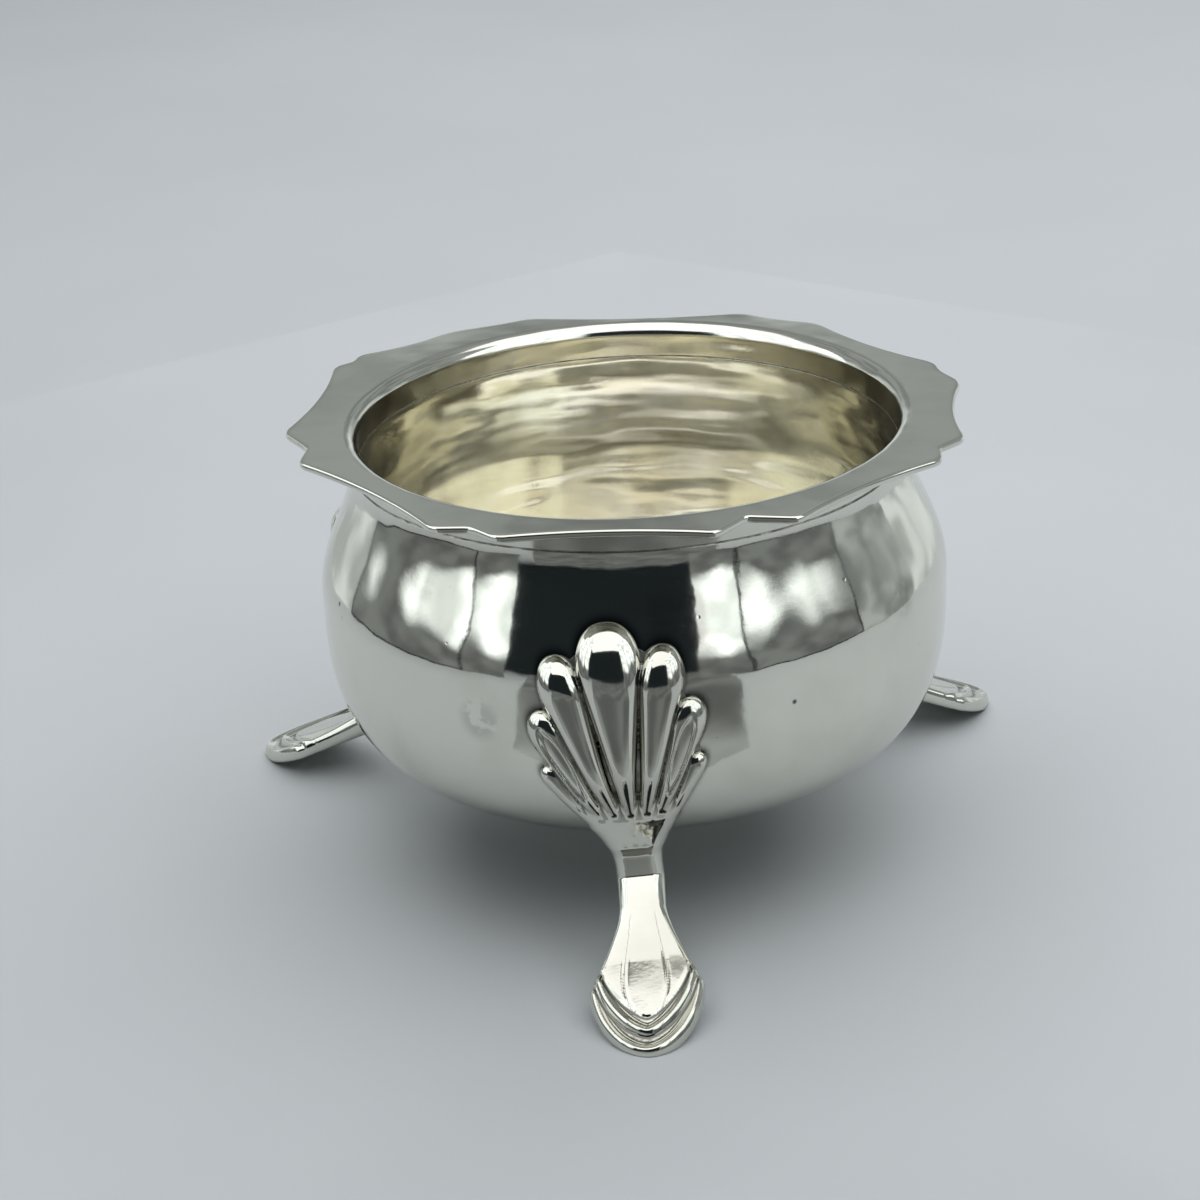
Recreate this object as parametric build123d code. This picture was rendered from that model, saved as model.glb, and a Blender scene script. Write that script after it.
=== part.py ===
"""Three-legged cauldron salt cellar in silver, millimetres, +Z up.

A spun bowl carries a shaped border on its neck and three cast legs on its belly, and hard
solder joins them. Nothing on it moves. It is built round the axis of the bowl, with the front
leg along -Y, and then moved so that the origin lies on the table in the middle of the footprint.
"""
from build123d import *
from math import cos, radians, sin, sqrt
import os

os.makedirs("parts", exist_ok=True)

# Bowl: a spun shell, widest at the belly and drawn in to a neck
belly_radius = 30.2
belly_height = 28.2
bowl_depth = 20.3
bowl_squareness = 3.3
bowl_gauge = 0.8
throat_radius = 25.8
neck_rise = 12.2
neck_height = belly_height + neck_rise

# Border: a flat flange that rolls over into a short collar on the neck
collar_height = 3.4
rim_height = neck_height + collar_height
roll_radius = 1.3
border_gauge = 0.7
flange_reach = 6.5
tip_radius = throat_radius + flange_reach
tip_half_angle = 6.2
tip_rounding = 0.9
side_hollow = 0.9

# The eight notches were cut by hand: azimuth, swell of the two tips beside it, depth
notches = (
    (14.5, 0.2, 0.9),
    (59.0, -1.7, 0.6),
    (113.0, -0.9, 0.5),
    (145.5, 2.3, 1.6),
    (190.0, -0.3, 1.4),
    (242.5, 0.0, 1.6),
    (290.0, -0.6, 2.3),
    (335.5, 0.8, 1.7),
)

# Solder: the film left between two silver faces
solder_film = 0.15

# Legs: castings of one pattern, each set by hand at an azimuth and a sideways lean in degrees
leg_places = {"front": (-92.4, 5.0), "left": (150.8, 0.0), "right": (36.2, 0.0)}
hub_drop = 13.8
hub_height = belly_height - hub_drop
hub_width = 7.6
hub_share = 0.15
shank_width = 4.5
shank_thickness = 3.2
shank_share = 0.5
stem_sections = 8
bend_height = 8.9
bend_radius = 27.8
foot_reach = 45.0
foot_slope = 27.0
foot_width = 10.2
foot_thickness = 1.9
foot_crown_radius = 12.0
heel_width = 8.4
heel_thickness = 1.5
heel_overlap = 2.0
spade_length = 9.0
shoulder_length = 1.6
flank_share = 0.66
rib_width = 1.7
rib_step = 0.3

# Shell knee: lobes from the middle outwards, as side offset of the end and its rise above the hub, half width, relief
shell_lobes = (
    (0.0, 20.2, 2.95, 1.9),
    (5.1, 17.8, 2.35, 1.7),
    (7.2, 12.6, 1.95, 1.5),
    (7.1, 7.2, 1.3, 1.2),
)
root_pitch = 1.15
root_rise = 1.2
lobe_root_share = 0.34
lobe_root_relief = 1.6
lobe_dome_share = 0.2
shaft_steps = (0.0, 0.375, 0.75)
dome_steps = (0.0, 0.6, 0.925)
look_ahead = 0.01
web_relief = 1.0
web_margin = 1.6


def eased(share):
    """0 below a share of 0, 1 above 1, with a smooth rise between them."""
    part = min(max(share, 0.0), 1.0)
    return 3 * part**2 - 2 * part**3


def bowl_radius_at(height, grow=0.0):
    """Outer radius of the bowl at a height, with the whole surface moved outwards by grow."""
    outer = belly_radius + grow
    drop = belly_height - height
    if drop > 0:
        share = min(drop / (bowl_depth + grow), 1.0)
        return outer * (1 - share**bowl_squareness) ** (1 / bowl_squareness)
    neck = throat_radius + bowl_gauge + grow
    return outer + (neck - outer) * eased(-drop / (neck_height - belly_height))


def bowl_curves(grow):
    """Half profile from the axis under the bowl up to the belly, and from there to the neck."""
    outer = belly_radius + grow
    depth = bowl_depth + grow
    power = 2 / bowl_squareness
    lower = [(0, belly_height - depth)]
    for turn in (75, 60, 45, 30, 15):
        across = outer * cos(radians(turn)) ** power
        lower.append((across, belly_height - depth * sin(radians(turn)) ** power))
    lower.append((outer, belly_height))
    upper = []
    for step in range(5):
        height = belly_height + (neck_height - belly_height) * step / 4
        upper.append((bowl_radius_at(height, grow), height))
    below = Spline(lower, tangents=[(1, 0), (0, 1)])
    above = Spline(upper, tangents=[(0, 1), (0, 1)])
    return below, above


def bowl_block(grow):
    """The bowl as a filled solid, for fitting what is seated on it."""
    below, above = bowl_curves(grow)
    top = Line(above @ 1, (0, neck_height))
    axis = Line((0, neck_height), below @ 0)
    return revolve(Plane.XZ * make_face([below, above, top, axis]), Axis.Z)


def make_bowl():
    below, above = bowl_curves(0.0)
    inner_below, inner_above = bowl_curves(-bowl_gauge)
    lip = Line(above @ 1, inner_above @ 1)
    floor = Line(inner_below @ 0, below @ 0)
    section = make_face([below, above, lip, inner_above, inner_below, floor])
    return revolve(Plane.XZ * section, Axis.Z)


def polar(radius, azimuth):
    return Vector(radius * cos(radians(azimuth)), radius * sin(radians(azimuth)))


def border_outline():
    """Eight hollow sides that meet in pairs of rounded tips, with a notch between each pair."""
    corners = []
    for azimuth, swell, depth in notches:
        reach = tip_radius + swell
        first = polar(reach, azimuth - tip_half_angle)
        notch = polar(reach - depth, azimuth)
        second = polar(reach, azimuth + tip_half_angle)
        corners.append((first, notch, second))
    edges = []
    for place, (first, notch, second) in enumerate(corners):
        following = corners[(place + 1) % len(corners)][0]
        middle = (second + following) / 2
        sag = middle - middle.normalized() * side_hollow
        edges += [Line(first, notch), Line(notch, second), ThreePointArc(second, sag, following)]
    face = make_face(edges)
    tips = [tip for first, notch, second in corners for tip in (first, second)]
    sharp = [v for v in face.vertices() if min((Vector(v) - tip).length for tip in tips) < 0.01]
    return fillet(sharp, tip_rounding)


def make_border():
    """Collar, roll and flange in one turned section, trimmed to the cut outline."""
    foot = neck_height + solder_film
    roll_height = rim_height - roll_radius
    roll_start = throat_radius + roll_radius
    under = rim_height - border_gauge
    edge = tip_radius + max(swell for azimuth, swell, depth in notches) + roll_radius
    collar = throat_radius + border_gauge
    top_roll = RadiusArc((throat_radius, roll_height), (roll_start, rim_height), roll_radius)
    low_roll = RadiusArc((roll_start, under), (collar, roll_height), border_gauge - roll_radius)
    rest = Polyline((roll_start, rim_height), (edge, rim_height), (edge, under), (roll_start, under))
    skirt = Polyline((collar, roll_height), (collar, foot), (throat_radius, foot), (throat_radius, roll_height))
    turned = revolve(Plane.XZ * make_face([top_roll, rest, low_roll, skirt]), Axis.Z)
    return turned & extrude(Pos(0, 0, foot) * border_outline(), rim_height - foot)


def make_rim_solder():
    ring_width = min(bowl_gauge, border_gauge)
    ring = Circle(throat_radius + ring_width) - Circle(throat_radius)
    return extrude(Pos(0, 0, neck_height) * ring, solder_film)


def leaned(side, height, lean):
    """Side offset and height of a point of the leg after it leans about its hub."""
    rise = height - hub_height
    across = side * cos(radians(lean)) - rise * sin(radians(lean))
    level = hub_height + rise * cos(radians(lean)) + side * sin(radians(lean))
    return across, level


def on_bowl(side, height, lean):
    """Point of the shell on the outside of the bowl, in the leg's own frame with +X outwards."""
    across, level = leaned(side, height, lean)
    radius = bowl_radius_at(level)
    turn = across / radius
    return Vector(radius * cos(turn), radius * sin(turn), level)


def make_lobe(place, lean):
    """One finger of the shell: it swells from its root at the hub and ends in a dome."""
    side, end_rise, half_width, relief = shell_lobes[place]
    root = root_pitch * place
    dome_start = 1 - lobe_dome_share
    shares = [step * dome_start for step in shaft_steps]
    shares += [dome_start + step * lobe_dome_share for step in dome_steps]

    def centre(share):
        rise = root_rise + (end_rise - root_rise) * share
        return on_bowl(root + (side - root) * share, hub_height + rise, lean)

    sections = []
    for share in shares:
        here = centre(share)
        along = centre(share + look_ahead) - here
        past = max(share - dome_start, 0) / lobe_dome_share
        dome = sqrt(1 - past**2)
        spread = lobe_root_share + (1 - lobe_root_share) * min(share / dome_start, 1)
        height = lobe_root_relief + (relief - lobe_root_relief) * share
        frame = Plane(here, x_dir=Vector(here.X, here.Y, 0).cross(along), z_dir=along)
        sections.append(frame * Ellipse(half_width * spread * dome, height * dome))
    return loft(sections)


def make_web(lean):
    """Sheet of metal under the lobes, following the belly; it closes the fan between them."""
    half = [(hub_width / 2, hub_height)]
    for side, end_rise, half_width, relief in reversed(shell_lobes[1:]):
        half.append((side, hub_height + end_rise - web_margin))
    side, end_rise, half_width, relief = shell_lobes[0]
    half.append((half_width / 2, hub_height + end_rise - web_margin))
    outline = half + [(-side, height) for side, height in reversed(half)]
    face = make_face(Polyline(*[leaned(side, height, lean) for side, height in outline], close=True))
    outward = Plane((belly_radius / 2, 0, 0), x_dir=(0, 1, 0), z_dir=(1, 0, 0))
    return extrude(outward * face, belly_radius) & bowl_block(web_relief)


def heel_place():
    """Radius and height of the middle of the foot's heel."""
    radius = foot_reach - spade_length * cos(radians(foot_slope))
    return radius, spade_length * sin(radians(foot_slope))


def make_stem():
    """Oval stem from inside the shell, down past the bend and out into the foot."""
    top_height = hub_height + (hub_height - bend_height) / 2
    heel_radius, heel_height = heel_place()
    path = Spline(
        [
            (bowl_radius_at(top_height), 0, top_height),
            (bowl_radius_at(hub_height), 0, hub_height),
            (bend_radius, 0, bend_height),
            (heel_radius, 0, heel_height),
        ],
        tangents=[(0, 0, -1), (cos(radians(foot_slope)), 0, -sin(radians(foot_slope)))],
    )
    sections = []
    for step in range(stem_sections):
        share = step / (stem_sections - 1)
        narrowing = eased((share - hub_share) / (shank_share - hub_share))
        flare = max((share - shank_share) / (1 - shank_share), 0) ** 2
        width = hub_width + (shank_width - hub_width) * narrowing + (heel_width - shank_width) * flare
        thickness = shank_thickness + (heel_thickness - shank_thickness) * flare
        frame = Plane(path @ share, x_dir=(0, 1, 0), z_dir=path % share)
        sections.append(frame * Ellipse(width / 2, thickness / 2))
    return loft(sections)


def spade(inset):
    """Outline of the foot in its own plane, from the heel towards the rounded tip along +X."""
    tip = spade_length - inset
    half = (foot_width - inset) / 2
    shoulder = shoulder_length - inset / 2
    heel = shank_width / 2
    turn = (shoulder + (tip - shoulder) * flank_share, half * flank_share)
    flank = Spline([(shoulder, half), turn, (tip, 0)], tangents=[(1, 0), (0, -1)])
    sides = Polyline((shoulder, -half), (-heel_overlap, -heel), (-heel_overlap, heel), (shoulder, half))
    return make_face([flank, mirror(flank, about=Plane.XZ), sides])


def make_foot():
    """Splayed foot: a crowned panel with two stepped ribs round its tip."""
    foot = Part()
    for layer in range(3):
        top = foot_thickness - rib_step * (2 - layer)
        crown = Pos(0, 0, top - foot_crown_radius) * Rot(0, 90, 0) * Cylinder(foot_crown_radius, 4 * spade_length)
        foot += extrude(spade(rib_width * layer), foot_thickness) & crown
    heel_radius, heel_height = heel_place()
    return Pos(heel_radius, 0, heel_height) * Rot(0, foot_slope, 0) * Pos(0, 0, -foot_thickness / 2) * foot


def make_casting(lean):
    """A whole leg in its own frame, with +X outwards, before it is fitted to the bowl."""
    casting = make_web(lean)
    for place in range(len(shell_lobes)):
        casting += make_lobe(place, lean)
        if place:
            casting += mirror(make_lobe(place, -lean), about=Plane.XZ)
    hub = Pos(0, 0, hub_height)
    return casting + hub * Rot(lean, 0, 0) * hub.inverse() * (make_stem() + make_foot())


def make_leg_and_solder(lean):
    """The leg fitted to the belly and flat on the table, and the film of solder behind it."""
    casting = make_casting(lean)
    film = bowl_block(solder_film)
    table = Pos(foot_reach, 0, -foot_reach) * Box(2 * foot_reach, foot_reach, 2 * foot_reach)
    return casting - film - table, (casting & film) - bowl_block(0.0)


def make_pieces():
    """Every piece by name, round the axis of the bowl."""
    pieces = {"bowl": make_bowl(), "rim_border": make_border(), "rim_solder": make_rim_solder()}
    fitted = {lean: make_leg_and_solder(lean) for azimuth, lean in leg_places.values()}
    for name, (azimuth, lean) in leg_places.items():
        leg, solder = fitted[lean]
        pieces[f"leg_{name}"] = Rot(0, 0, azimuth) * leg
        pieces[f"knee_solder_{name}"] = Rot(0, 0, azimuth) * solder
    return pieces


pieces = make_pieces()
footprint = Compound(list(pieces.values())).bounding_box().center()
for node, shape in pieces.items():
    placed = Pos(-footprint.X, -footprint.Y, 0) * shape
    placed.label = node
    export_step(placed, f"parts/{node}.step")
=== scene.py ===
"""Looks of the three-legged silver salt cellar: fine meshes, worn silver and gilding, and a soft studio."""
from itertools import product
from math import cos, pi, radians, sin

import bpy
import numpy as np
from mathutils import Matrix, Vector


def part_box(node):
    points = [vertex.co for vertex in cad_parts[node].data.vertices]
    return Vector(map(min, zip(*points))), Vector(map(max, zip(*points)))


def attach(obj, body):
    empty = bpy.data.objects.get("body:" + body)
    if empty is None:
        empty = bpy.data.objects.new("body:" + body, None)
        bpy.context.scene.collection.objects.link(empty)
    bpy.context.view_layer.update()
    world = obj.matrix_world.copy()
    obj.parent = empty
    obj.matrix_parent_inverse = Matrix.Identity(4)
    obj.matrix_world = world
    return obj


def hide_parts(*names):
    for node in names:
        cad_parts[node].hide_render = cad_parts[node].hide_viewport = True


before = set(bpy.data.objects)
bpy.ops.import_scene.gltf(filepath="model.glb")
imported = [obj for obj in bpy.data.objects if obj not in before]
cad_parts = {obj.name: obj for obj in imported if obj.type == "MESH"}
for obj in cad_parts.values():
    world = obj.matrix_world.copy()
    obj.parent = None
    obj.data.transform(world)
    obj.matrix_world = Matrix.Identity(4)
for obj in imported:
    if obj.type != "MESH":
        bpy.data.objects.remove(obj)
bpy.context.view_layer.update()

# Sizes are in millimetres, heights above the table and angles in degrees, unless a heading says otherwise
MM = 0.001

# Bowl
belly_radius = 30.2
belly_height = 28.2
bowl_depth = 20.3
bowl_squareness = 3.3
bowl_gauge = 0.8
throat_radius = 25.8
neck_height = 40.4
lip_crease = 0.03

# Border
rim_height = 43.8
roll_radius = 1.3
border_gauge = 0.7
edge_radius = 0.25
solder_film = 0.15
collar_crease = 0.04
tip_radius = 32.3
tip_half_angle = 6.2
tip_softness = 1.0
notch_softness = 0.5
side_hollow = 0.9
# Notched corners: azimuth, swell of the two tips, depth of the notch between them
notches = (
    (14.5, 0.2, 0.9),
    (59.0, -1.7, 0.6),
    (113.0, -0.9, 0.5),
    (145.5, 2.3, 1.6),
    (190.0, -0.3, 1.4),
    (242.5, 0.0, 1.6),
    (290.0, -0.6, 2.3),
    (335.5, 0.8, 1.7),
)
# Cosines of the angles within which a side or a notch is met
side_cosine = 0.75
notch_cosine = 0.94

# Legs: azimuth and sideways lean
leg_places = {"front": (-92.4, 5.0), "left": (150.8, 0.0), "right": (36.2, 0.0)}
hub_height = 14.4

# Shell: lobes run from a root to an end given by its side and its rise above the hub, half width and relief
root_rise = 0.3
root_pitch = 1.15
root_half_width = 0.55
root_fade = 2.6
root_relief = 1.1
dome_share = 0.2
widening_power = 1.25
relief_share = 0.4
lobe_fullness = 2.3
shell_lobes = (
    (0.0, 20.2, 2.95, 1.9),
    (5.15, 17.8, 2.05, 1.75),
    (7.2, 12.7, 1.65, 1.5),
    (7.15, 7.1, 0.95, 1.1),
)
# Sunk oval panel in one pair of lobes, as shares of the lobe's width and length
panel_lobe = 2
panel_depth = 0.4
panel_half_width = 0.55
panel_middle = 0.58
panel_half_length = 0.34
panel_softness = 0.5
# Lobes melt together at the root and part above it; below it the shell runs out into the stem
root_blend = 1.2
lobe_blend = 0.15
parting_start = 0.6
parting_length = 2.8
run_out_start = 2.0
run_out_length = 3.2
run_out_depth = 2.0
knee_overlap = 0.1
knee_blend = 1.0

# Stem and foot
spine_above_hub = 3.0
spine_past_tip = 2.0
hub_half_width = 3.7
hub_flare_length = 4.5
stem_above_hub = 4.5
stem_top_round = 0.8
shank_half_width = 2.2
shank_half_thickness = 1.5
shank_edge = 1.25
bend_radius = 27.8
bend_height = 8.9
foot_reach = 45.0
instep_slope = 55.0
instep_pull = 3.4
toe_slope = 18.0
toe_pull = 3.0
foot_half_thickness = 0.85
foot_edge = 0.42
shoulder_from_tip = 7.8
flare_length = 8.0
flare_half_width = 2.8
flare_power = 1.35
flare_limit = 1.3
thinning_lead = 3.0
thinning_length = flare_length + 1.0
# Tongue: a leaf down the middle of the panel, with a fine groove round it; the panel falls away beside it
tongue_half_width = 1.1
tongue_swell = 0.85
tongue_length = 4.3
tongue_limit = 0.98
tongue_groove_depth = 0.06
tongue_groove_width = 0.16
facet_slope = 0.09
facet_softness = 0.1
facet_start = 8.5
facet_fade = 2.0
# Ribs: rounded edges that swell below the panel, with a dark line of tarnish and painted shade in the crease
# inside each
rib_swell = 0.3
rib_inset = 0.5
rib_half_width = 0.36
rib_lead = 1.0
rib_fade = 1.5
dark_line_half_width = 0.24
dark_line_offset = 0.1
dark_line_start = 0.3
dark_line_fade = 1.4
# Layers of the foot: start and tip past the shoulder, half width, fullness of the tip, drop below the panel
foot_layers = (
    (-1.76, 4.1, 4.2, 1.42, 0.0),
    (-0.6, 6.1, 4.72, 1.55, 0.23),
    (0.42, 8.1, 5.2, 1.8, 0.44),
)
lowest_drop = foot_layers[-1][-1]
layer_blend = 0.14

# Darkening, partly tarnish and partly painted shade: its reach from creases, joints and knees, its line
# round the tongue, and where the bowl can have any
crease_tarnish_and_shade = 0.3
joint_tarnish_and_shade = 0.25
knee_tarnish_and_shade = 0.45
tongue_tarnish_and_shade = 0.6
tongue_tarnish_and_shade_width = 0.11
tongue_tarnish_and_shade_stop = 0.4
darkened_radius = 20.0
darkened_half_width = 13.0
darkened_height = 10.0

# Fineness of the meshes
bowl_segments = 512
outer_rings = 160
inner_rings = 120
belly_points = 300
neck_points = 120
border_segments = 1440
collar_points = 5
roll_points = 14
under_roll_points = 8
flange_points = 12
edge_points = 6
leg_step = 0.13
stem_points = 40
foot_points = 60
beyond_points = 10
spine_points = 200
# Rows of the border's section that line the throat
gilt_rows = range(1, 8)
# Space round one leg in its own frame
leg_low = np.array([22.0, -10.0, -0.6])
leg_high = np.array([46.5, 10.0, 36.0])

# Stand-ins for nothing and for out of reach
tiny = 1e-6
out_of_reach = 1e3

# Colours: red, green, blue and alpha
bright_silver = (0.735, 0.73, 0.665, 1)
dull_silver = (0.655, 0.65, 0.585, 1)
bright_casting = (0.69, 0.685, 0.625, 1)
dull_casting = (0.6, 0.595, 0.535, 1)
pit_colour = (0.2, 0.19, 0.17, 1)
# Near-black for the darkening in creases, joints and round the knees: partly tarnish, partly painted shade
tarnish_and_shade_colour = (0.075, 0.075, 0.068, 1)
stain_colour = (0.34, 0.35, 0.33, 1)
blotch_colour = (0.36, 0.36, 0.35, 1)
firestain_colour = (0.56, 0.43, 0.40, 1)
speck_colour = (0.12, 0.11, 0.1, 1)
gilt_colour = (0.78, 0.745, 0.625, 1)
rubbed_gilt = (0.85, 0.835, 0.765, 1)
pale_solder = (0.45, 0.45, 0.42, 1)
dark_solder = (0.2, 0.2, 0.19, 1)
grey_floor = (0.575, 0.61, 0.635, 1)
pale_floor = (0.60, 0.635, 0.66, 1)
cloth_colour = (0.93, 1, 1, 1)
black = (0, 0, 0, 1)
darkness = (0.014, 0.019, 0.021, 1)

# Wiping marks: turns about the three axes in radians, how the grain is drawn out, and its roughness
wiping_turns = ((0.3, 0.2, 0.4), (1.2, 0.7, 1.9), (0.5, 2.1, 2.7))
wiping_stretch = (260, 9000, 9000)
wiping_roughness = 0.08

# Unevenness of the polish, darkness of the pits, and roughness of every cloudy pattern
gloss_spread = 0.07
pit_darkness = 0.6
noise_roughness = 0.55

# Blemishes on the outside of the bowl: a water mark, a grey blotch and a pink firestain. Each has its place
# from the axis, inner and outer radius, range of its ragged edge, strength and colour
blemishes = (
    ((-14.6, -26.4, 24.7), 1.2, 2.6, 0.44, 0.5, 0.42, stain_colour),
    ((24.6, -16.9, 30.5), 0.8, 2.4, 0.42, 0.52, 0.35, blotch_colour),
    ((3.2, -28.4, 33.6), 1.0, 6.0, 0.3, 0.7, 0.55, firestain_colour),
)
speck_places = ((13.9, -26.8, 25.2), (-27.7, -11.2, 30.2))
speck_inner = 0.12
speck_outer = 0.32
pitted_place = (6.3, -29.5, 25.0)
pitted_inner = 1.5
pitted_outer = 5.0

# Camera: distance from a point on the axis, and where that point stands in the picture, in pixels right of
# its middle and below it
picture = 1200.0
sensor = 36.0
focal_pixels = 3392.5
camera_distance = 330.5
camera_elevation = 23.24
camera_roll = 2.70
camera_near = 10.0
aim_height = 25.0
aim_right = 35.1
aim_down = -6.2

# Studio, in metres
floor_half = 4.0
wall_reach = 0.19
wall_height = 0.30
seam = 0.0035
table_near = 0.047
table_far = 0.6
table_lift = 0.0008
roof_place = Vector((0.07, 0.15, 0.36))
roof_width = 0.70
roof_length = 1.0
roof_glow = 1.5
# Sides of the strip of table, as shares of the distance from the axis
table_left = -0.75
table_right = 0.6
# Cloths: glow above a level, glow below it, and the level; then how ragged and how soft that level is
cloth_glows = {
    "lit_wall": (2.0, 0.24, 0.043),
    "right_wall": (2.0, 0.24, 0.06),
    "pale_wall": (0.42, 0.5, 0.035),
    "grey_wall": (0.36, 0.85, 0.06),
    "dark_seam": (0.02, 0.02, 0.0),
    # The strip of table seen only in the silver: painted shade in the reflection of the floor
    "painted_shade_table_cloth": (0.45, 0.2, -0.075),
}
level_ragged = 0.015
level_fade = 0.03
# Cards of the tent: first and last azimuth, running right from the camera, cloth and edging
tent_cards = {
    "wall_left": (-114, -59, "lit_wall", "dark_seam"),
    "flap_left": (-59, -43, "lit_wall", "lit_wall"),
    "flap_right": (20, 37, "lit_wall", "lit_wall"),
    "wall_right": (37, 80, "right_wall", "dark_seam"),
    "wall_right_back": (80, 110, "pale_wall", "pale_wall"),
    "back_left": (-180, -114, "grey_wall", "grey_wall"),
    "back_right": (110, 180, "grey_wall", "grey_wall"),
}

low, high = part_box("bowl")
axis = Vector(((low.x + high.x) / 2, (low.y + high.y) / 2, 0.0))


def eased(share):
    """A smooth step from nothing to one."""
    part = np.clip(share, 0.0, 1.0)
    return 3 * part**2 - 2 * part**3


def soft_min(a, b, width):
    """The lower of two values, with the corner between them rounded over a width."""
    part = np.clip(0.5 + 0.5 * (b - a) / width, 0, 1)
    return b + (a - b) * part - width * part * (1 - part)


def round_max(a, b, radius):
    """The higher of two distances, with the edge between the two faces rounded."""
    outside = np.hypot(np.maximum(a + radius, 0), np.maximum(b + radius, 0)) - radius
    return np.where((a + radius > 0) & (b + radius > 0), outside, np.maximum(a, b))


def evenly(points, count):
    """The same line with count points at even steps along it."""
    points = np.asarray(points, float)
    steps = np.linalg.norm(np.diff(points, axis=0), axis=1)
    along = np.concatenate(([0.0], np.cumsum(steps)))
    places = np.linspace(0.0, along[-1], count)
    return np.stack([np.interp(places, along, column) for column in points.T], axis=1)


def polar(radius, azimuth):
    return np.array([radius * cos(radians(azimuth)), radius * sin(radians(azimuth))])


def arc(centre, radius, start, end, count):
    turns = np.radians(np.linspace(start, end, count))
    return [(centre[0] + radius * cos(t), centre[1] + radius * sin(t)) for t in turns]


def bezier(points, count):
    """Points on the curve with four control points."""
    a, b, c, d = (np.array(point, float) for point in points)
    line = []
    for share in np.linspace(0, 1, count):
        rest = 1 - share
        line.append(rest**3 * a + 3 * rest**2 * share * b + 3 * rest * share**2 * c + share**3 * d)
    return np.array(line)


def rectangle(left, right, bottom, top):
    return [(left, bottom, 0), (right, bottom, 0), (right, top, 0), (left, top, 0)]


def turned(points, angle, direction):
    """Points turned about X, Y or Z by an angle in degrees."""
    return points @ np.array(Matrix.Rotation(radians(angle), 3, direction)).T


def leant(points, lean):
    """Points of a leg turned sideways about its hub."""
    hub = np.array([0.0, 0.0, hub_height])
    return turned(points - hub, lean, "X") + hub


def new_object(name, vertices, faces, materials, face_materials=None):
    """An object with a new mesh, in metres."""
    mesh = bpy.data.meshes.new(name)
    mesh.from_pydata(vertices, [], faces)
    for material in materials:
        mesh.materials.append(material)
    if face_materials is not None:
        mesh.polygons.foreach_set("material_index", face_materials)
    mesh.update()
    thing = bpy.data.objects.new(name, mesh)
    bpy.context.scene.collection.objects.link(thing)
    return thing


def silver_object(name, vertices, faces, materials, face_materials=None):
    """A smooth object from points in millimetres round the axis of the bowl."""
    thing = new_object(name, (np.asarray(vertices) * MM).tolist(), faces, materials, face_materials)
    thing.data.polygons.foreach_set("use_smooth", [True] * len(thing.data.polygons))
    thing.data.update()
    thing.location = axis
    return thing


def stand_for(thing, slot, *nodes):
    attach(thing, "root")
    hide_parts(*nodes)


def add_tarnish_and_shade(thing, amounts):
    # Darkening per point for creases, joints and knees: partly tarnish, partly painted shade
    tarnish_and_shade = thing.data.attributes.new("tarnish_and_shade", "FLOAT", "POINT")
    tarnish_and_shade.data.foreach_set("value", amounts)


def bowl_radius(height, grow=0.0):
    """Radius of the bowl at a height, with its surface moved outwards by grow."""
    outer = belly_radius + grow
    drop = np.clip((belly_height - height) / (bowl_depth + grow), 0.0, 1.0)
    neck = throat_radius + bowl_gauge + grow
    rise = eased((height - belly_height) / (neck_height - belly_height))
    return outer * (1 - drop**bowl_squareness) ** (1 / bowl_squareness) + (neck - outer) * rise


def bowl_line(grow, count):
    """Half section of one face of the bowl, from the axis to the neck."""
    turns = np.radians(np.linspace(90, 0, belly_points))
    power = 2 / bowl_squareness
    across = (belly_radius + grow) * np.cos(turns) ** power
    heights = belly_height - (bowl_depth + grow) * np.sin(turns) ** power
    across[0] = 0.0
    above = np.linspace(belly_height, neck_height, neck_points)[1:]
    below = np.stack([across, heights], axis=1)
    upper = np.stack([bowl_radius(above, grow), above], axis=1)
    return evenly(np.concatenate([below, upper]), count)


def make_bowl(outside, inside):
    """The bowl, turned from a section up the outside, over the lip and down the inside."""
    outer = bowl_line(0.0, outer_rings)
    inner = bowl_line(-bowl_gauge, inner_rings)[::-1]
    lip = [outer[-1] - (0, lip_crease), outer[-1], outer[-1] - (lip_crease, 0)]
    lip += [inner[0] + (lip_crease, 0), inner[0], inner[0] - (0, lip_crease)]
    section = np.concatenate([outer[1:-1], lip, inner[1:-1]])
    silver_rings = len(outer) + 2
    turns = np.linspace(0, 2 * pi, bowl_segments, endpoint=False)
    vertices = [(r * cos(t), r * sin(t), z) for r, z in section for t in turns]
    bottom = len(vertices)
    vertices += [(0, 0, outer[0][1]), (0, 0, inner[-1][1])]
    faces = []
    face_materials = []
    for ring in range(len(section) - 1):
        a = ring * bowl_segments
        b = a + bowl_segments
        for place in range(bowl_segments):
            after = (place + 1) % bowl_segments
            faces.append((a + place, a + after, b + after, b + place))
            face_materials.append(0 if ring < silver_rings else 1)
    last = (len(section) - 1) * bowl_segments
    for place in range(bowl_segments):
        after = (place + 1) % bowl_segments
        faces.append((bottom, after, place))
        face_materials.append(0)
        faces.append((bottom + 1, last + place, last + after))
        face_materials.append(1)
    thing = silver_object("bowl_silver", vertices, faces, [outside, inside], face_materials)
    add_tarnish_and_shade(thing, tarnish_and_shade_on_bowl(np.array(vertices)))
    stand_for(thing, "silver_bowl", "bowl")


def ray_to_line(turns, start, end):
    """Distance from the axis to a straight edge, along each direction."""
    edge = end - start
    facing = np.cos(turns) * edge[1] - np.sin(turns) * edge[0]
    offset = start[0] * edge[1] - start[1] * edge[0]
    reach = offset / np.where(np.abs(facing) < tiny, tiny, facing)
    return np.where(reach > 0, reach, out_of_reach)


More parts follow.
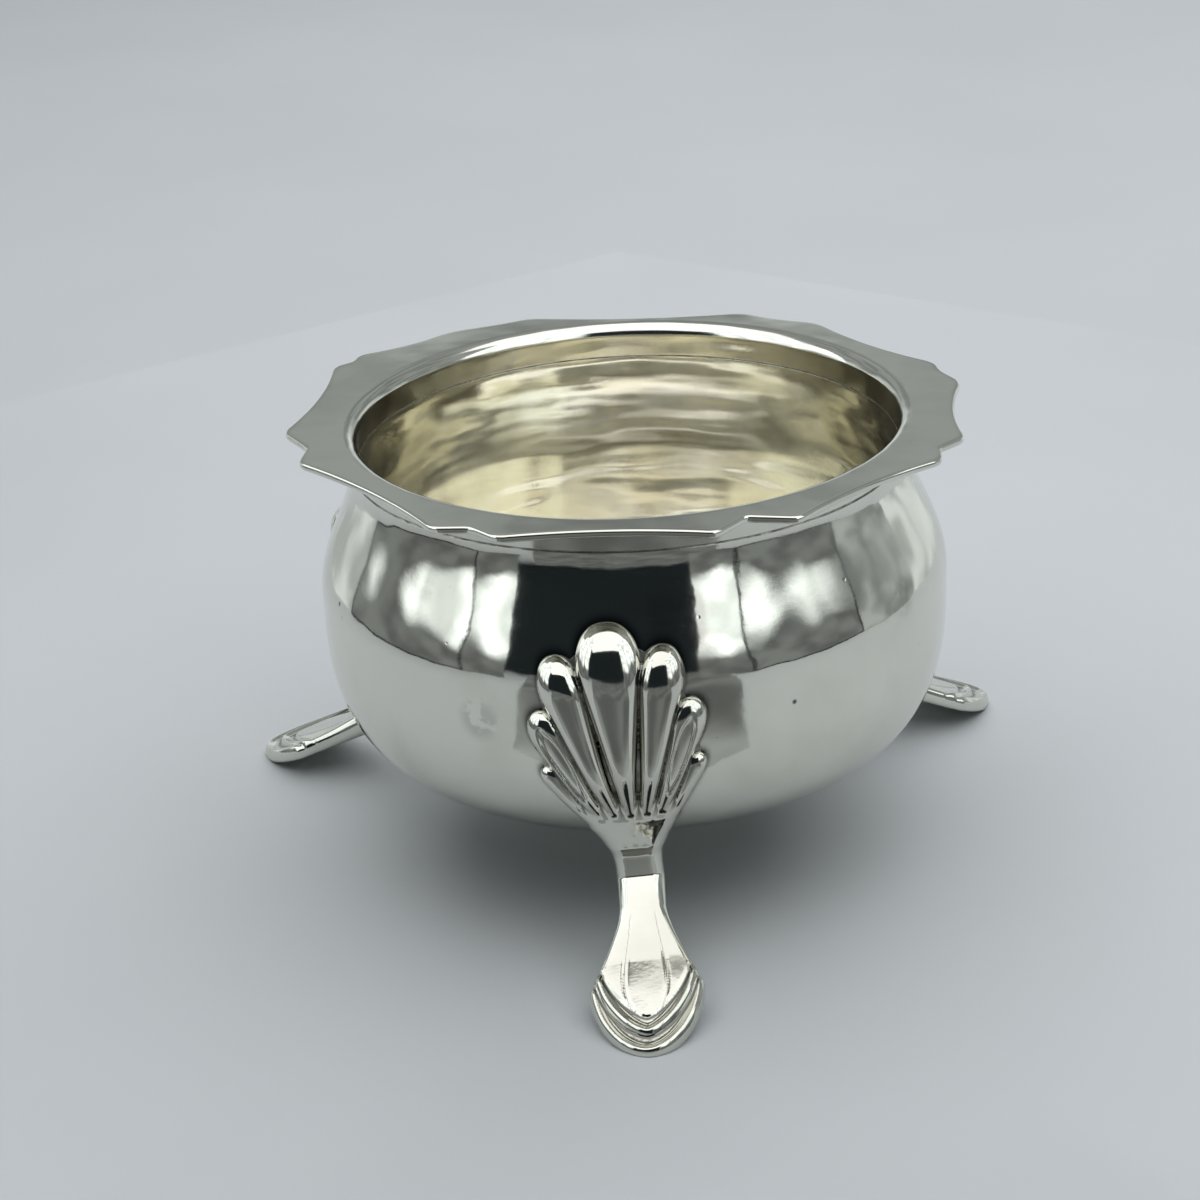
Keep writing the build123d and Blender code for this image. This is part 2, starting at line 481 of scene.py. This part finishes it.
def ray_to_hollow(turns, start, end, hollow):
    """Distance from the axis to a hollow side, an arc that curves in by hollow between two tips."""
    middle = (start + end) / 2
    half = np.linalg.norm(end - start) / 2
    radius = (half**2 + hollow**2) / (2 * hollow)
    centre = middle * (1 + (radius - hollow) / np.linalg.norm(middle))
    along = np.cos(turns) * centre[0] + np.sin(turns) * centre[1]
    inside = along**2 - centre @ centre + radius**2
    return np.where(inside > 0, along - np.sqrt(np.maximum(inside, 0)), out_of_reach)


def towards(turns, point, cosine):
    """Which directions lie within an angle, given by its cosine, of a point."""
    return np.cos(turns) * point[0] + np.sin(turns) * point[1] > cosine * np.linalg.norm(point)


def border_radius(turns):
    """Radius of the border's cut edge along each direction."""
    corners = []
    for azimuth, swell, depth in notches:
        reach = tip_radius + swell
        first = polar(reach, azimuth - tip_half_angle)
        second = polar(reach, azimuth + tip_half_angle)
        corners.append((first, polar(reach - depth, azimuth), second))
    sides = np.full(turns.shape, out_of_reach)
    cuts = np.full(turns.shape, out_of_reach)
    for place, (first, notch, second) in enumerate(corners):
        following = corners[(place + 1) % len(corners)][0]
        side = ray_to_hollow(turns, second, following, side_hollow)
        met = towards(turns, (second + following) / 2, side_cosine)
        sides = np.where(met, np.minimum(sides, side), sides)
        flanks = (-ray_to_line(turns, first, notch), -ray_to_line(turns, notch, second))
        cut = -soft_min(*flanks, notch_softness)
        cuts = np.where(towards(turns, notch, notch_cosine), np.minimum(cuts, cut), cuts)
    return soft_min(sides, cuts, tip_softness)


def border_section(reach):
    """Closed section of the border from the collar's foot, over the roll, out to the edge and back."""
    foot = neck_height + solder_film
    crease_height = foot + collar_crease
    roll_height = rim_height - roll_radius
    roll_centre = (throat_radius + roll_radius, roll_height)
    under = rim_height - border_gauge
    collar_out = throat_radius + border_gauge
    edge_centre = reach - edge_radius
    collar = np.linspace(crease_height, roll_height, collar_points)
    flange = np.linspace(roll_centre[0], edge_centre, flange_points)[1:-1]
    line = [(throat_radius + collar_crease, foot), (throat_radius, foot)]
    line += [(throat_radius, height) for height in collar[:-1]]
    line += arc(roll_centre, roll_radius, 180, 90, roll_points)
    line += [(radius, rim_height) for radius in flange]
    line += arc((edge_centre, rim_height - edge_radius), edge_radius, 90, 0, edge_points)
    line += arc((edge_centre, under + edge_radius), edge_radius, 0, -90, edge_points)
    line += [(radius, under) for radius in flange[::-1]]
    line += arc(roll_centre, roll_radius - border_gauge, 90, 180, under_roll_points)
    line += [(collar_out, crease_height), (collar_out, foot), (collar_out - collar_crease, foot)]
    return line


def make_border(material, inside):
    """The border, silver outside and gilt where its collar lines the throat."""
    turns = np.linspace(-pi, pi, border_segments, endpoint=False)
    vertices = []
    for turn, reach in zip(turns, border_radius(turns)):
        vertices += [(r * cos(turn), r * sin(turn), z) for r, z in border_section(reach)]
    rows = len(vertices) // border_segments
    faces = []
    for column in range(border_segments):
        a = column * rows
        b = (column + 1) % border_segments * rows
        for row in range(rows):
            after = (row + 1) % rows
            faces.append((a + row, a + after, b + after, b + row))
    gilt = [int(row in gilt_rows) for row in range(rows)]
    thing = silver_object("border_silver", vertices, faces, [material, inside], gilt * border_segments)
    stand_for(thing, "silver_border", "rim_border")


def leg_spine():
    """Middle line of the stem and foot as radius and height, from inside the shell to past the tip."""
    hub = np.array([float(bowl_radius(hub_height)), hub_height])
    top = hub + np.array([0.0, spine_above_hub])
    bend = np.array([bend_radius, bend_height])
    tip = np.array([foot_reach, 0.0])
    instep = polar(1.0, -instep_slope)
    outward = polar(1.0, -toe_slope)
    stem = bezier((top, top + (hub - top) / 2, hub, bend), stem_points)
    foot = bezier((bend, bend + instep * instep_pull, tip - outward * toe_pull, tip), foot_points)
    beyond = np.array([tip + outward * step for step in np.linspace(0, spine_past_tip, beyond_points)])
    return evenly(np.concatenate([stem, foot[1:], beyond[1:]]), spine_points)


spine = leg_spine()
spine_along = np.concatenate(([0.0], np.cumsum(np.linalg.norm(np.diff(spine, axis=0), axis=1))))
spine_tangent = np.gradient(spine, axis=0)
spine_tangent /= np.linalg.norm(spine_tangent, axis=1)[:, None]
hub_along = float(np.interp(-hub_height, -spine[:, 1], spine_along))
tip_along = float(np.interp(0.0, -spine[:, 1], spine_along))
shoulder_along = tip_along - shoulder_from_tip


def spine_place(x, z):
    """Length along the spine and height above it, towards the front, of points in the leg's plane."""
    apart = (x[..., None] - spine[:, 0]) ** 2 + (z[..., None] - spine[:, 1]) ** 2
    nearest = np.argmin(apart, axis=-1)
    dx = x - spine[nearest, 0]
    dz = z - spine[nearest, 1]
    tx = spine_tangent[nearest, 0]
    tz = spine_tangent[nearest, 1]
    along = spine_along[nearest] + dx * tx + dz * tz
    above = dx * -tz + dz * tx
    return along, above


def stem_width(past_hub, past):
    """Half width of the stem, wide at the hub, slim at the shank and flaring towards the shoulder."""
    hub_part = np.clip(1 - past_hub / hub_flare_length, 0, 1) ** 2
    flare = np.clip((past + flare_length) / flare_length, 0, flare_limit) ** flare_power
    return shank_half_width + (hub_half_width - shank_half_width) * hub_part + flare_half_width * flare


def tongue_edge(past):
    """Half width of the leaf-shaped tongue along the foot, from the bend to the tip of the panel."""
    swollen = tongue_half_width + tongue_swell * eased((past + flare_length) / flare_length)
    return swollen * np.sqrt(1 - np.clip(past / tongue_length, 0, tongue_limit) ** 2)


def tip_distance(past_start, across, length, half_width, fullness):
    """Distance outside the rounded outline of a layer's tip."""
    least_lean = 1e-3
    a = np.maximum(past_start, 0) / length
    s = across / half_width
    level = np.maximum((a**fullness + s**fullness) ** (1 / fullness), tiny)
    lean_a = (a / level) ** (fullness - 1) / length
    lean_s = (s / level) ** (fullness - 1) / half_width
    return (level - 1) / np.maximum(np.hypot(lean_a, lean_s), least_lean)


def bell(distance, width):
    """One at no distance, falling away on both sides."""
    return np.exp(-(distance / width) ** 2)


def foot_fields(along, above, side):
    """Distances to the layers of the stem and foot, the panel first, and the darkening, tarnish and painted
    shade, by the ribs and tongue.
    """
    past_hub = along - hub_along
    past = along - shoulder_along
    width = stem_width(past_hub, past)
    thinning = eased((past + flare_length + thinning_lead) / thinning_length)
    thickness = shank_half_thickness + (foot_half_thickness - shank_half_thickness) * thinning
    edge = shank_edge + (foot_edge - shank_edge) * thinning
    across = np.abs(side)
    off_tongue = across - tongue_edge(past)
    on_panel = eased((past + facet_start) / facet_fade)
    facet = facet_slope * facet_softness * np.logaddexp(0, off_tongue / facet_softness)
    facet = facet + tongue_groove_depth * bell(off_tongue, tongue_groove_width)
    fields = []
    rib_dark_lines = np.zeros(np.shape(past + side))
    for start, tip, half_width, fullness, drop in foot_layers:
        past_start = past - start
        tip_edge = tip_distance(past_start, across, tip - start, half_width, fullness)
        outline = np.where(past > start, tip_edge, across - width)
        if drop == 0.0:
            top = above + facet * on_panel
        else:
            swell = bell(tip_edge + rib_inset, rib_half_width) * eased((past_start + rib_lead) / rib_fade)
            top = above + drop - rib_swell * swell
        sheet = np.where(above > 0, top, -above) - thickness
        layer = round_max(outline, sheet, edge)
        fields.append(round_max(layer, -past_hub - stem_above_hub, stem_top_round))
        # Dark line at the foot of each step between layers: tarnish and painted shade
        if drop < lowest_drop:
            beside = bell(tip_edge - dark_line_offset, dark_line_half_width)
            beside = beside * eased((past_start - dark_line_start) / dark_line_fade)
            rib_dark_lines = np.maximum(rib_dark_lines, beside * (above > 0))
    # Dark line in the groove round the tongue: tarnish and painted shade
    tongue_line = tongue_tarnish_and_shade * bell(off_tongue, tongue_tarnish_and_shade_width) * on_panel
    return fields, rib_dark_lines, tongue_line * (tongue_length - past > tongue_tarnish_and_shade_stop)


def shell_fields(side, rise, gap):
    """Distances to the lobes of the shell."""
    fields = []
    for place, (end_side, end_rise, half_width, relief) in enumerate(shell_lobes):
        root = np.array([root_pitch * place, root_rise])
        run = np.array([end_side, end_rise]) - root
        length = np.linalg.norm(run)
        run = run / length
        for hand in ((1, -1) if place else (1,)):
            ds = side * hand - root[0]
            dr = rise - root[1]
            along = (ds * run[0] + dr * run[1]) / length
            across = np.abs(ds * run[1] - dr * run[0])
            widening = np.clip(along / (1 - dome_share), 0, 1) ** widening_power
            width = root_half_width + (half_width - root_half_width) * widening
            height = root_relief + (relief - root_relief) * eased(along / relief_share)
            dome = np.maximum(along - (1 - dome_share), 0) / dome_share
            below = np.maximum(-along, 0) * length / root_fade
            face = gap
            if place == panel_lobe:
                oval = 1 - (across / (panel_half_width * width)) ** 2
                oval = oval - ((along - panel_middle) / panel_half_length) ** 2
                face = gap + panel_depth * eased(oval / panel_softness)
            reach = (across / width) ** lobe_fullness + dome**lobe_fullness + below**lobe_fullness
            level = (reach + np.abs(face / height) ** lobe_fullness) ** (1 / lobe_fullness)
            fields.append((level - 1) * np.minimum(width, height))
    return fields


def two_lowest(fields):
    """The lowest of several distances, and the next lowest."""
    lowest = np.minimum(fields[0], fields[1])
    second = np.maximum(fields[0], fields[1])
    for field in fields[2:]:
        second = np.minimum(second, np.maximum(lowest, field))
        lowest = np.minimum(lowest, field)
    return lowest, second


def leg_field(x, y, z, lean):
    """Distance to a leg in its own frame, +X outwards, before it leans; and the darkening in its creases,
    partly tarnish and partly painted shade.
    """
    turn = radians(lean)
    up = z - hub_height
    leant_y = y * cos(turn) - up * sin(turn)
    leant_z = hub_height + y * sin(turn) + up * cos(turn)
    probe = 0.05
    wall = bowl_radius(leant_z)
    slope = (bowl_radius(leant_z + probe) - bowl_radius(leant_z - probe)) / (2 * probe)
    gap = (np.hypot(x, leant_y) - wall) / np.sqrt(1 + slope**2)
    across = np.arctan2(leant_y, x) * wall
    level = leant_z - hub_height
    side = across * cos(turn) + level * sin(turn)
    rise = level * cos(turn) - across * sin(turn)
    lobes = shell_fields(side, rise, gap)
    lobe, next_lobe = two_lowest(lobes)
    above_root = eased((rise - parting_start) / parting_length)
    under_root = run_out_depth * eased((-rise - run_out_start) / run_out_length)
    shell = lobes[0]
    for field in lobes[1:]:
        shell = soft_min(shell, field, root_blend - (root_blend - lobe_blend) * above_root)
    shell = shell + under_root
    along, above = spine_place(x + 0 * z, z + 0 * x)
    layers, rib_dark_lines, tongue_line = foot_fields(along, above, y)
    layer = np.minimum(np.minimum(layers[0], layers[1]), layers[2])
    foot = soft_min(soft_min(layers[0], layers[1], layer_blend), layers[2], layer_blend)
    whole = soft_min(shell, foot, knee_blend)
    whole = np.maximum(whole, -gap - knee_overlap)
    whole = np.maximum(whole, -leant_z)
    # Darkening where lobes meet and where the leg meets the bowl: tarnish and painted shade
    crease = np.exp(-(next_lobe - lobe) / crease_tarnish_and_shade) * above_root
    joint = np.exp(-np.maximum(gap, 0) / joint_tarnish_and_shade)
    foot_tarnish_and_shade = np.where(layers[0] <= layer, tongue_line, rib_dark_lines)
    return whole, np.where(lobe + under_root < layer, np.maximum(crease, joint), foot_tarnish_and_shade)


def surface_net(values, origin, step):
    """Vertices near the zero of a grid of values, and the quads between them."""
    inside = values < 0
    corners = np.zeros(np.array(values.shape) - 1, int)
    nx, ny, nz = corners.shape
    for i, j, k in product((0, 1), repeat=3):
        corners += inside[i:i + nx, j:j + ny, k:k + nz]
    all_corners = 8
    mixed = (corners > 0) & (corners < all_corners)
    index = np.full(corners.shape, -1)
    cells = np.argwhere(mixed)
    index[mixed] = np.arange(len(cells))
    vertices = origin + (cells + 0.5) * step
    quads = []
    for direction in range(3):
        near = np.moveaxis(inside, direction, 0)
        cell = np.moveaxis(index, direction, 0)
        start = near[:-1, 1:-1, 1:-1]
        end = near[1:, 1:-1, 1:-1]
        i, j, k = np.argwhere(start != end).T
        around = ((0, 0), (1, 0), (1, 1), (0, 1))
        loop = np.stack([cell[i, j + dj, k + dk] for dj, dk in around], axis=1)
        flip = start[i, j, k] == (direction == 1)
        loop[flip] = loop[flip][:, ::-1]
        quads.append(loop)
    return vertices, np.concatenate(quads)


def settle(points, field, times):
    """Points moved onto the zero of a field."""
    probe = 0.02
    least_steepness = 0.1
    longest_move = 0.8 * leg_step
    for _ in range(times):
        slopes = []
        for unit in np.eye(3):
            ahead = field(*(points + probe * unit).T)
            behind = field(*(points - probe * unit).T)
            slopes.append((ahead - behind) / (2 * probe))
        slope = np.stack(slopes, axis=1)
        steepness = np.maximum((slope**2).sum(axis=1), least_steepness)
        move = -(field(*points.T) / steepness)[:, None] * slope
        reach = np.linalg.norm(move, axis=1)[:, None]
        points = points + move * np.minimum(1, longest_move / np.maximum(reach, tiny))
    return points


def relaxed(points, quads):
    """Points moved half way to the middle of their neighbours."""
    total = np.zeros_like(points)
    count = np.zeros(len(points))
    for a, b in ((0, 1), (1, 2), (2, 3), (3, 0)):
        for near, far in ((a, b), (b, a)):
            np.add.at(total, quads[:, near], points[quads[:, far]])
            count += np.bincount(quads[:, near], minlength=len(points))
    return (points + total / count[:, None]) / 2


def grid_values(field, lows, highs):
    """A field on a fine grid; far from its zero only the sign is right."""
    block = 4
    margin = 2.4
    batch = 60000
    coarse_step = leg_step * block
    cells = np.ceil((highs - lows) / coarse_step).astype(int)
    corners = [lows[i] + np.arange(cells[i] + 1) * leg_step * block for i in range(3)]
    rough = field(*np.meshgrid(*corners, indexing="ij", sparse=True))
    close = np.abs(rough) < margin * coarse_step
    near = np.zeros(cells, bool)
    for i, j, k in product((0, 1), repeat=3):
        near |= close[i:i + cells[0], j:j + cells[1], k:k + cells[2]]
    values = rough[:-1, :-1, :-1]
    for side in range(3):
        values = values.repeat(block, side)
        near = near.repeat(block, side)
    places = lows + np.argwhere(near) * leg_step
    pieces = np.array_split(places, len(places) // batch + 1)
    values[near] = np.concatenate([field(*piece.T) for piece in pieces])
    return values


def leg_mesh(lean):
    """Vertices, quads and darkening of one leg, leaning, in its own frame; the darkening is partly tarnish
    and partly painted shade.
    """

    def field(x, y, z):
        return leg_field(x, y, z, lean)[0]

    vertices, quads = surface_net(grid_values(field, leg_low, leg_high), leg_low, leg_step)
    vertices = settle(vertices, field, times=2)
    vertices = settle(relaxed(vertices, quads), field, times=2)
    tarnish_and_shade_amounts = leg_field(*vertices.T, lean)[1]
    return leant(vertices, lean), quads, tarnish_and_shade_amounts


def tarnish_and_shade_on_bowl(points):
    """Darkening on the bowl close round the knees, partly tarnish and partly painted shade."""
    tarnish_and_shade_amounts = np.zeros(len(points))
    for azimuth, lean in leg_places.values():
        local = leant(turned(points, -azimuth, "Z"), -lean)
        x, y, z = local.T
        near = (x > darkened_radius) & (np.abs(y) < darkened_half_width) & (z > darkened_height)
        distance = leg_field(*local[near].T, lean)[0]
        tarnish_and_shade_amounts[near] = np.maximum(tarnish_and_shade_amounts[near], np.exp(-np.maximum(distance, 0) / knee_tarnish_and_shade))
    return tarnish_and_shade_amounts


def make_leg(name, azimuth, shape, material):
    vertices, quads, tarnish_and_shade_amounts = shape
    thing = silver_object(f"leg_{name}_silver", turned(vertices, azimuth, "Z"), quads.tolist(), [material])
    add_tarnish_and_shade(thing, tarnish_and_shade_amounts)
    stand_for(thing, "cast_silver", f"leg_{name}")


class Shader:
    """A material whose nodes are added by short calls."""

    def __init__(self, name):
        self.material = bpy.data.materials.new(name)
        self.material.use_nodes = True
        self.tree = self.material.node_tree
        self.surface = self.tree.nodes["Principled BSDF"]
        self.place = self.tree.nodes.new("ShaderNodeTexCoord").outputs["Object"]

    def feed(self, socket, value):
        """A link where the value comes from another node, or else the value itself."""
        if isinstance(value, bpy.types.NodeSocket):
            self.tree.links.new(value, socket)
        else:
            socket.default_value = value

    def set(self, **values):
        for key, value in values.items():
            self.feed(self.surface.inputs[key.replace("_", " ")], value)

    def node(self, kind, inputs=(), **settings):
        made = self.tree.nodes.new(kind)
        for key, value in settings.items():
            setattr(made, key, value)
        for key, value in dict(inputs).items():
            self.feed(made.inputs[key], value)
        return made

    def noise(self, scale, detail, stretch=None, turn=(0, 0, 0)):
        place = self.place
        if stretch:
            mapping = {"Vector": place, "Scale": stretch, "Rotation": turn}
            place = self.node("ShaderNodeMapping", mapping).outputs[0]
        inputs = {"Vector": place, "Scale": scale, "Detail": detail, "Roughness": noise_roughness}
        return self.node("ShaderNodeTexNoise", inputs).outputs["Fac"]

    def ramp(self, value, low, high, start=0.0, end=1.0):
        inputs = {"Value": value, "From Min": low, "From Max": high, "To Min": start, "To Max": end}
        return self.node("ShaderNodeMapRange", inputs, interpolation_type="SMOOTHSTEP").outputs["Result"]

    def math(self, operation, a, b):
        return self.node("ShaderNodeMath", {0: a, 1: b}, operation=operation).outputs[0]

    def times(self, a, b):
        return self.math("MULTIPLY", a, b)

    def blend(self, share, a, b):
        """Two colours mixed; their sockets come after those for numbers and directions."""
        return self.node("ShaderNodeMix", {0: share, 6: a, 7: b}, data_type="RGBA").outputs[2]

    def spot(self, middle, inner, outer):
        """One near a point given in millimetres, falling to nothing at the outer distance."""
        centre = tuple(value * MM for value in middle)
        apart = self.node("ShaderNodeVectorMath", {0: self.place, 1: centre}, operation="DISTANCE")
        return self.ramp(apart.outputs["Value"], inner * MM, outer * MM, 1.0, 0.0)

    def bump(self, height, depth, strength=1.0, normal=None):
        """Relief of a depth in millimetres, laid over other relief."""
        inputs = {"Height": height, "Distance": depth * MM, "Strength": strength}
        if normal is not None:
            inputs["Normal"] = normal
        return self.node("ShaderNodeBump", inputs).outputs["Normal"]


def wiped(shader, rough):
    """Roughness with fine wiping marks in three directions."""
    marks = None
    for turn in wiping_turns:
        grain = shader.noise(scale=1.0, detail=2.0, stretch=wiping_stretch, turn=turn)
        mark = shader.ramp(grain, low=0.66, high=0.74)
        marks = mark if marks is None else shader.math("MAXIMUM", marks, mark)
    return shader.math("ADD", rough, shader.times(marks, wiping_roughness))


def bowl_blemishes(shader, colour):
    """The stains and specks on the outside of the bowl."""
    ragged = shader.noise(scale=420, detail=4.0)
    for place, inner, outer, low_edge, high_edge, strength, stain in blemishes:
        patch = shader.times(shader.spot(place, inner, outer), shader.ramp(ragged, low_edge, high_edge))
        colour = shader.blend(shader.times(patch, strength), colour, stain)
    for place in speck_places:
        colour = shader.blend(shader.spot(place, speck_inner, speck_outer), colour, speck_colour)
    return colour


def silver_material(name, tone, shade, gloss, waviness, tarnish_and_shade=True, marks_on_bowl=False):
    """Polished silver with soft tarnish, wiping marks, small pits, and darkening in the creases that is
    partly tarnish and partly painted shade.
    """
    shader = Shader(name)
    cloud = shader.ramp(shader.noise(scale=95, detail=4.0), low=0.42, high=0.72)
    colour = shader.blend(cloud, tone, shade)
    cells = shader.node("ShaderNodeTexVoronoi", {"Vector": shader.place, "Scale": 420.0})
    pit = shader.ramp(cells.outputs["Distance"], low=0.05, high=0.10, start=1.0, end=0.0)
    few = shader.ramp(shader.noise(scale=140, detail=2.0), low=0.60, high=0.68)
    if marks_on_bowl:
        few = shader.math("MAXIMUM", few, shader.spot(pitted_place, pitted_inner, pitted_outer))
        colour = bowl_blemishes(shader, colour)
    pit = shader.times(pit, few)
    colour = shader.blend(shader.times(pit, pit_darkness), colour, pit_colour)
    if tarnish_and_shade:
        # Painted shade and tarnish: near-black laid over the creases, joints and knees
        dark = shader.node("ShaderNodeAttribute", attribute_name="tarnish_and_shade").outputs["Fac"]
        tarnish_and_shade_share = shader.ramp(dark, low=0.25, high=0.95, start=0.0, end=0.88)
        colour = shader.blend(tarnish_and_shade_share, colour, tarnish_and_shade_colour)
    cloudy = shader.noise(scale=60, detail=4.0)
    rough = shader.ramp(cloudy, low=0.35, high=0.75, start=gloss, end=gloss + gloss_spread)
    wave = shader.bump(shader.noise(scale=105, detail=2.0), depth=waviness)
    fine = shader.noise(scale=1800, detail=2.0)
    grain = shader.bump(fine, depth=0.004, strength=0.6, normal=wave)
    dents = shader.bump(shader.times(pit, -1.0), depth=0.03, strength=0.7, normal=grain)
    shader.set(Base_Color=colour, Metallic=1.0, Roughness=wiped(shader, rough), Normal=dents)
    return shader.material


def gilt_material():
    """Worn gilding inside the bowl, rubbed through to silver in places."""
    shader = Shader("worn_gilding")
    worn = shader.ramp(shader.noise(scale=70, detail=3.0), low=0.35, high=0.70)
    colour = shader.blend(worn, gilt_colour, rubbed_gilt)
    rough = shader.ramp(shader.noise(scale=120, detail=4.0), low=0.3, high=0.75, start=0.10, end=0.22)
    rings = shader.noise(scale=45, detail=2.0, stretch=(1.0, 1.0, 4.0))
    streaks = shader.noise(scale=85, detail=2.0, stretch=(1.0, 1.0, 0.25))
    fine = shader.noise(scale=2600, detail=2.0)
    wave = shader.bump(rings, depth=0.6)
    wave = shader.bump(streaks, depth=0.5, normal=wave)
    grain = shader.bump(fine, depth=0.008, strength=0.5, normal=wave)
    shader.set(Base_Color=colour, Metallic=1.0, Roughness=wiped(shader, rough), Normal=grain)
    return shader.material


def solder_material():
    """Grainy grey solder."""
    shader = Shader("silver_solder")
    grain = shader.noise(scale=900, detail=4.0)
    colour = shader.blend(shader.ramp(grain, low=0.35, high=0.7), pale_solder, dark_solder)
    rough = shader.ramp(grain, low=0.3, high=0.7, start=0.25, end=0.45)
    normal = shader.bump(grain, depth=0.04, strength=0.6)
    shader.set(Base_Color=colour, Metallic=1.0, Roughness=rough, Normal=normal)
    return shader.material


def floor_material():
    """A pale matt table top."""
    shader = Shader("pale_floor")
    cloud = shader.ramp(shader.noise(scale=12, detail=3.0), low=0.3, high=0.7)
    colour = shader.blend(cloud, grey_floor, pale_floor)
    normal = shader.bump(shader.noise(scale=1500, detail=3.0), depth=0.05, strength=0.2)
    shader.set(Base_Color=colour, Roughness=0.7, Normal=normal)
    return shader.material


def cloth_material(name, glow, low_glow, level):
    """A lit cloth, a little uneven, with another glow below a ragged level."""
    shader = Shader(name)
    even = shader.ramp(shader.noise(scale=22, detail=1.5), low=0.36, high=0.62, start=0.55, end=1.0)
    parts = shader.node("ShaderNodeSeparateXYZ", {"Vector": shader.place})
    uneven = shader.noise(scale=14, detail=1.0)
    ragged = shader.ramp(uneven, low=0.3, high=0.7, start=-level_ragged, end=level_ragged)
    height = shader.math("ADD", parts.outputs["Y"], ragged)
    lit = shader.times(even, shader.ramp(height, level, level + level_fade, low_glow, glow))
    shader.set(Base_Color=black, Emission_Color=cloth_colour, Emission_Strength=lit, Roughness=1.0)
    return shader.material


def make_floor():
    corners = rectangle(-floor_half, floor_half, -floor_half, floor_half)
    floor = new_object("floor", corners, [(0, 1, 2, 3)], [floor_material()])


def make_camera():
    data = bpy.data.cameras.new("camera")
    data.sensor_width = sensor
    data.lens = focal_pixels / picture * sensor
    data.clip_start = camera_near * MM
    tilt = radians(camera_elevation)
    forward = Vector((0, cos(tilt), -sin(tilt)))
    right = Vector((1, 0, 0))
    up = right.cross(forward)
    roll = Matrix.Rotation(radians(camera_roll), 3, "Z")
    target = Vector((aim_right, -aim_down, focal_pixels)).normalized()
    turn = Vector((0, 0, 1)).rotation_difference(target).to_matrix()
    axes = turn @ roll @ Matrix((right, up, forward))
    rotation = Matrix((axes[0], axes[1], -axes[2])).transposed()
    place = axis + Vector((0, 0, aim_height * MM)) - forward * camera_distance * MM
    camera = bpy.data.objects.new("camera", data)
    camera.matrix_world = Matrix.Translation(place) @ rotation.to_4x4()
    bpy.context.scene.collection.objects.link(camera)
    bpy.context.scene.camera = camera


def silver_only_card(name, corners, faces, face_materials, materials, place):
    """A flat card that shows in the silver and nowhere else."""
    card = new_object(name, corners, faces, materials, face_materials)
    card.matrix_world = place
    card.visible_camera = False
    card.visible_diffuse = False
    card.visible_shadow = False


def wall_card(name, first, last, cloth, edging):
    """An upright card with an edging along its foot and sides, between two azimuths."""
    ends = [Vector((sin(radians(a)), -cos(radians(a)), 0.0)) * wall_reach for a in (first, last)]
    half = (ends[1] - ends[0]).length / 2
    outer = rectangle(-half, half, 0, wall_height)
    inner = rectangle(-half + seam, half - seam, seam, wall_height)
    faces = [(4, 5, 6, 7), (0, 1, 5, 4), (1, 2, 6, 5), (0, 4, 7, 3)]
    along = (ends[1] - ends[0]).normalized()
    up = Vector((0, 0, 1))
    turn = Matrix((along, up, along.cross(up))).transposed().to_4x4()
    place = Matrix.Translation(axis + (ends[0] + ends[1]) / 2) @ turn
    silver_only_card(name, outer + inner, faces, (0, 1, 1, 1), (cloth, edging), place)


def front_card(cloth):
    """A strip of table in front of the tent, seen only in the silver, glowing dimmer than the lit floor:
    painted shade in the silver's reflection of the floor.
    """
    corners = [(side * table_near, -table_near, table_lift) for side in (table_left, table_right)]
    corners += [(side * table_far, -table_far, table_lift) for side in (table_right, table_left)]
    silver_only_card("painted_shade_table", corners, [(0, 1, 2, 3)], [0], [cloth], Matrix.Translation(axis))


def make_roof():
    """A rectangle of even glow that shows in the silver but not in the picture itself."""
    data = bpy.data.lights.new("roof", "AREA")
    data.shape = "RECTANGLE"
    data.size = roof_width
    data.size_y = roof_length
    data.energy = pi * roof_width * roof_length * roof_glow
    light = bpy.data.objects.new("roof", data)
    light.location = axis + roof_place
    light.rotation_euler = Vector((0, 0, -1)).to_track_quat("-Z", "Y").to_euler()
    light.visible_camera = False
    bpy.context.scene.collection.objects.link(light)


def make_world():
    """Darkness outside the tent."""
    world = bpy.data.worlds.new("studio")
    bpy.context.scene.world = world
    world.use_nodes = True
    world.node_tree.nodes["Background"].inputs["Color"].default_value = darkness


def make_studio():
    make_world()
    cloths = {name: cloth_material(name, *glows) for name, glows in cloth_glows.items()}
    for name, (first, last, cloth, edging) in tent_cards.items():
        wall_card(name, first, last, cloths[cloth], cloths[edging])
    front_card(cloths["painted_shade_table_cloth"])
    make_roof()
    bpy.context.scene.view_settings.view_transform = "Standard"


def dress():
    """The silver of the bowl, border and legs, and the solder between them."""
    spun_look = {"gloss": 0.05, "waviness": 0.22, "marks_on_bowl": True}
    border_look = {"gloss": 0.10, "waviness": 0.25, "tarnish_and_shade": False}
    cast_look = {"gloss": 0.05, "waviness": 0.06}
    outside = silver_material("spun_silver", bright_silver, dull_silver, **spun_look)
    border = silver_material("border_silver", bright_silver, dull_silver, **border_look)
    cast = silver_material("cast_silver", bright_casting, dull_casting, **cast_look)
    inside = gilt_material()
    make_bowl(outside, inside)
    make_border(border, inside)
    shapes = {lean: leg_mesh(lean) for azimuth, lean in leg_places.values()}
    for name, (azimuth, lean) in leg_places.items():
        make_leg(name, azimuth, shapes[lean], cast)
    solder = solder_material()
    for node in ("rim_solder", "knee_solder_front", "knee_solder_left", "knee_solder_right"):
        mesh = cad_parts[node].data
        mesh.materials.clear()
        mesh.materials.append(solder)


dress()
make_floor()
make_camera()
make_studio()
